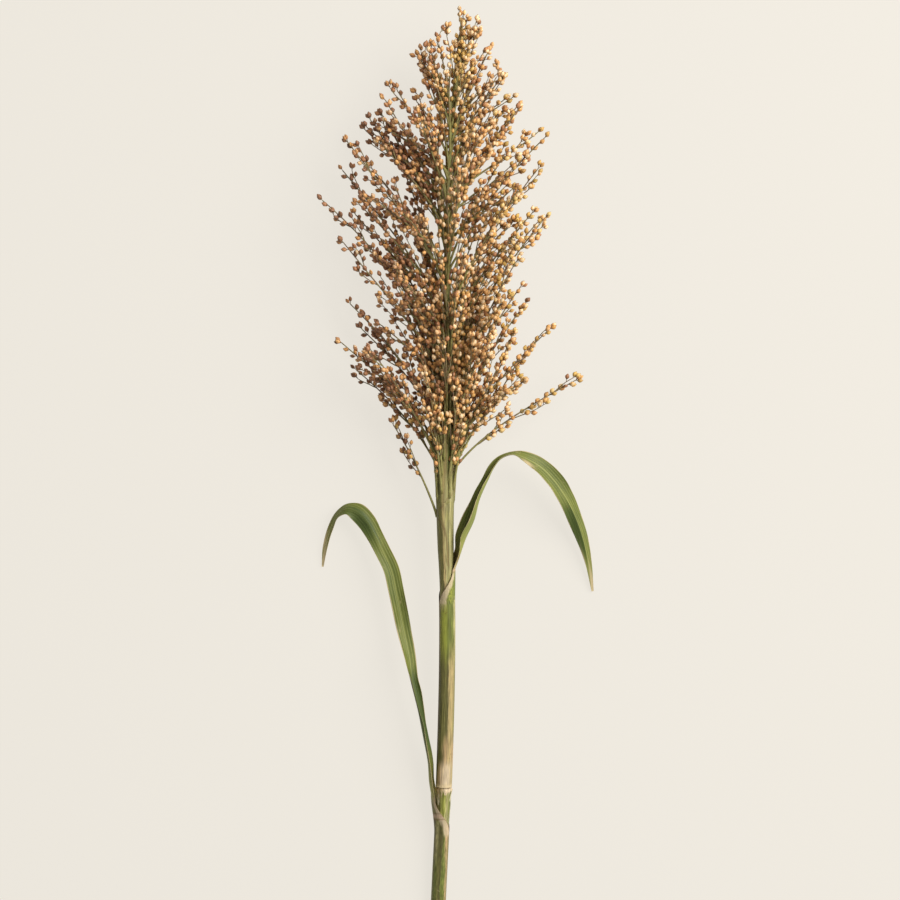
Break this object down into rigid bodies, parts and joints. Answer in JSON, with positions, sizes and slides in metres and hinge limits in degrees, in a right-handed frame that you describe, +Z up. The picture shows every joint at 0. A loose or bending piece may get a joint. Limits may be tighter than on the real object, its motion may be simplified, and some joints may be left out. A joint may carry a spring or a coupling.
{
  "type": "sorghum seed head",
  "caption": "Cut sorghum stalk lying down, with a loose seed head, jointed stem and arching leaves.",
  "frame": {"origin": "middle of the footprint, on the surface that the stalk lies on", "axes": "+Y from the cut end of the stem to the tip of the head, +Z up from the surface"},
  "size_m": [0.2041, 0.6468, 0.0895],
  "materials": {
    "stem": "satin green and straw stem",
    "leaf": "matt green blade with fine veins",
    "seeds": "satin tan and brown seeds"
  },
  "bodies": {
    "root": {"culm": "stem", "lower_leaf": "leaf", "upper_leaf": "leaf", "panicle": "seeds"}
  },
  "joints": []
}
